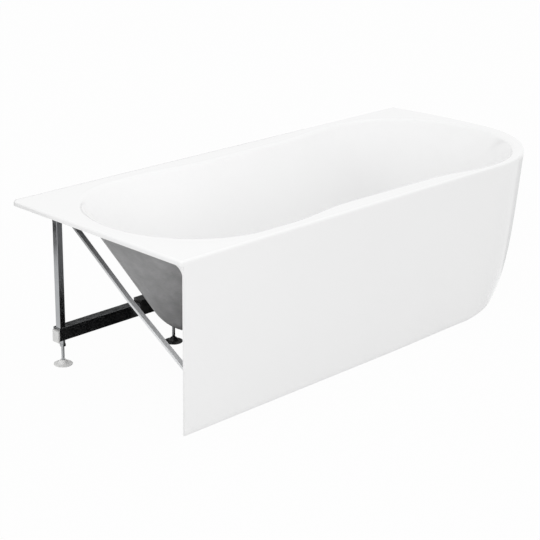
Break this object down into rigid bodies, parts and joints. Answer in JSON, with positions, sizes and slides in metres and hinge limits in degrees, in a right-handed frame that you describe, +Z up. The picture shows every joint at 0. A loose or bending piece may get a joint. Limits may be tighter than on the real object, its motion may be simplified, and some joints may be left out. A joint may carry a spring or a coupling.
{
  "type": "back-to-wall bathtub",
  "caption": "White acrylic bath with a rounded free end, a one-piece tapering apron, a steel frame on levelling feet, a pop-up waste and an overflow.",
  "frame": {"origin": "on the floor, in the middle of the bath's bounding box", "axes": "+X along the bath to its free rounded end, +Y towards the back wall, +Z up"},
  "size_m": [1.6994, 0.725, 0.495],
  "materials": {
    "acrylic": "white acrylic, high gloss",
    "glass_fibre": "grey glass-fibre and resin, matt, mottled",
    "wood": "raw chipboard and softwood",
    "zinc_steel": "bright zinc plate",
    "black_steel": "black coat, satin",
    "pale_plastic": "pale grey moulded",
    "black_plastic": "black moulded",
    "waste_plastic": "white polypropylene",
    "hose_plastic": "pale grey, ribbed",
    "seal_rubber": "matt",
    "cable_plastic": "black sheath",
    "chrome": "polished"
  },
  "bodies": {
    "bath": {"tub_shell": "acrylic", "bowl_backing": "glass_fibre", "apron": "acrylic", "apron_bond": "acrylic", "base_board": "wood", "rim_batten": "wood", "deck_block_left": "wood", "deck_block_right": "wood", "rear_rail": "zinc_steel", "rail_cap_left": "pale_plastic", "rail_cap_right": "pale_plastic", "front_rail": "zinc_steel", "cross_member_left": "zinc_steel", "cross_member_right": "zinc_steel", "rear_saddles": "black_steel", "front_saddles": "black_steel", "upright_left": "zinc_steel", "upright_right": "zinc_steel", "upright_brackets": "zinc_steel", "apron_brace": "zinc_steel", "apron_stays": "zinc_steel", "apron_cleats": "wood", "stud_bushes": "zinc_steel", "lock_nuts": "zinc_steel", "base_screws": "zinc_steel", "waste_flange": "chrome", "waste_seal": "seal_rubber", "waste_body": "waste_plastic", "trap_body": "waste_plastic", "trap_cup": "waste_plastic", "trap_nut": "waste_plastic", "overflow_face": "chrome", "overflow_seal": "seal_rubber", "overflow_body": "waste_plastic", "overflow_hose": "hose_plastic", "hose_clips": "zinc_steel", "pull_cable": "cable_plastic"},
    "pad_rear_left": {"pad_rear_left": "pale_plastic"},
    "stud_rear_left": {"stud_rear_left": "zinc_steel"},
    "pad_rear_right": {"pad_rear_right": "pale_plastic"},
    "stud_rear_right": {"stud_rear_right": "zinc_steel"},
    "pad_back_left": {"pad_back_left": "black_plastic"},
    "stud_back_left": {"stud_back_left": "zinc_steel"},
    "pad_back_right": {"pad_back_right": "black_plastic"},
    "stud_back_right": {"stud_back_right": "zinc_steel"},
    "pad_front_left": {"pad_front_left": "black_plastic"},
    "stud_front_left": {"stud_front_left": "zinc_steel"},
    "pad_front_right": {"pad_front_right": "black_plastic"},
    "stud_front_right": {"stud_front_right": "zinc_steel"},
    "knob": {"overflow_knob": "chrome"},
    "plug": {"waste_plug": "chrome", "plug_seal": "seal_rubber"}
  },
  "joints": [
    {"name": "pad_rear_left_slide", "type": "slide", "parent": "bath", "child": "pad_rear_left", "axis": [0, 0, -1], "range_m": [-0.0075, 0.012]},
    {"name": "stud_rear_left_turn", "type": "hinge", "parent": "pad_rear_left", "child": "stud_rear_left", "pos_m": [-0.773, 0.2455, 0.04], "axis": [0, 0, -1], "range_deg": [-1890, 3024]},
    {"name": "pad_rear_right_slide", "type": "slide", "parent": "bath", "child": "pad_rear_right", "axis": [0, 0, -1], "range_m": [-0.0075, 0.012]},
    {"name": "stud_rear_right_turn", "type": "hinge", "parent": "pad_rear_right", "child": "stud_rear_right", "pos_m": [0.70507, 0.2455, 0.04], "axis": [0, 0, -1], "range_deg": [-1890, 3024]},
    {"name": "pad_back_left_slide", "type": "slide", "parent": "bath", "child": "pad_back_left", "axis": [0, 0, -1], "range_m": [-0.0075, 0.012]},
    {"name": "stud_back_left_turn", "type": "hinge", "parent": "pad_back_left", "child": "stud_back_left", "pos_m": [-0.42, 0.1535, 0.04], "axis": [0, 0, -1], "range_deg": [-1890, 3024]},
    {"name": "pad_back_right_slide", "type": "slide", "parent": "bath", "child": "pad_back_right", "axis": [0, 0, -1], "range_m": [-0.0075, 0.012]},
    {"name": "stud_back_right_turn", "type": "hinge", "parent": "pad_back_right", "child": "stud_back_right", "pos_m": [0.44, 0.1535, 0.04], "axis": [0, 0, -1], "range_deg": [-1890, 3024]},
    {"name": "pad_front_left_slide", "type": "slide", "parent": "bath", "child": "pad_front_left", "axis": [0, 0, -1], "range_m": [-0.0075, 0.012]},
    {"name": "stud_front_left_turn", "type": "hinge", "parent": "pad_front_left", "child": "stud_front_left", "pos_m": [-0.42, -0.1405, 0.04], "axis": [0, 0, -1], "range_deg": [-1890, 3024]},
    {"name": "pad_front_right_slide", "type": "slide", "parent": "bath", "child": "pad_front_right", "axis": [0, 0, -1], "range_m": [-0.0075, 0.012]},
    {"name": "stud_front_right_turn", "type": "hinge", "parent": "pad_front_right", "child": "stud_front_right", "pos_m": [0.44, -0.1405, 0.04], "axis": [0, 0, -1], "range_deg": [-1890, 3024]},
    {"name": "knob_turn", "type": "hinge", "parent": "bath", "child": "knob", "pos_m": [0.03, -0.28416, 0.413], "axis": [0.0347, 0.9713, 0.2355], "range_deg": [0, 90]},
    {"name": "plug_lift", "type": "slide", "parent": "bath", "child": "plug", "axis": [0, 0, 1], "range_m": [0, 0.01]}
  ],
  "couplings": [
    {"joint": "stud_rear_left_turn", "follows": "pad_rear_left_slide", "rad_per_m": 4188.8},
    {"joint": "stud_rear_right_turn", "follows": "pad_rear_right_slide", "rad_per_m": 4188.8},
    {"joint": "stud_back_left_turn", "follows": "pad_back_left_slide", "rad_per_m": 4188.8},
    {"joint": "stud_back_right_turn", "follows": "pad_back_right_slide", "rad_per_m": 4188.8},
    {"joint": "stud_front_left_turn", "follows": "pad_front_left_slide", "rad_per_m": 4188.8},
    {"joint": "stud_front_right_turn", "follows": "pad_front_right_slide", "rad_per_m": 4188.8},
    {"joint": "plug_lift", "follows": "knob_turn", "m_per_rad": 0.006366}
  ]
}
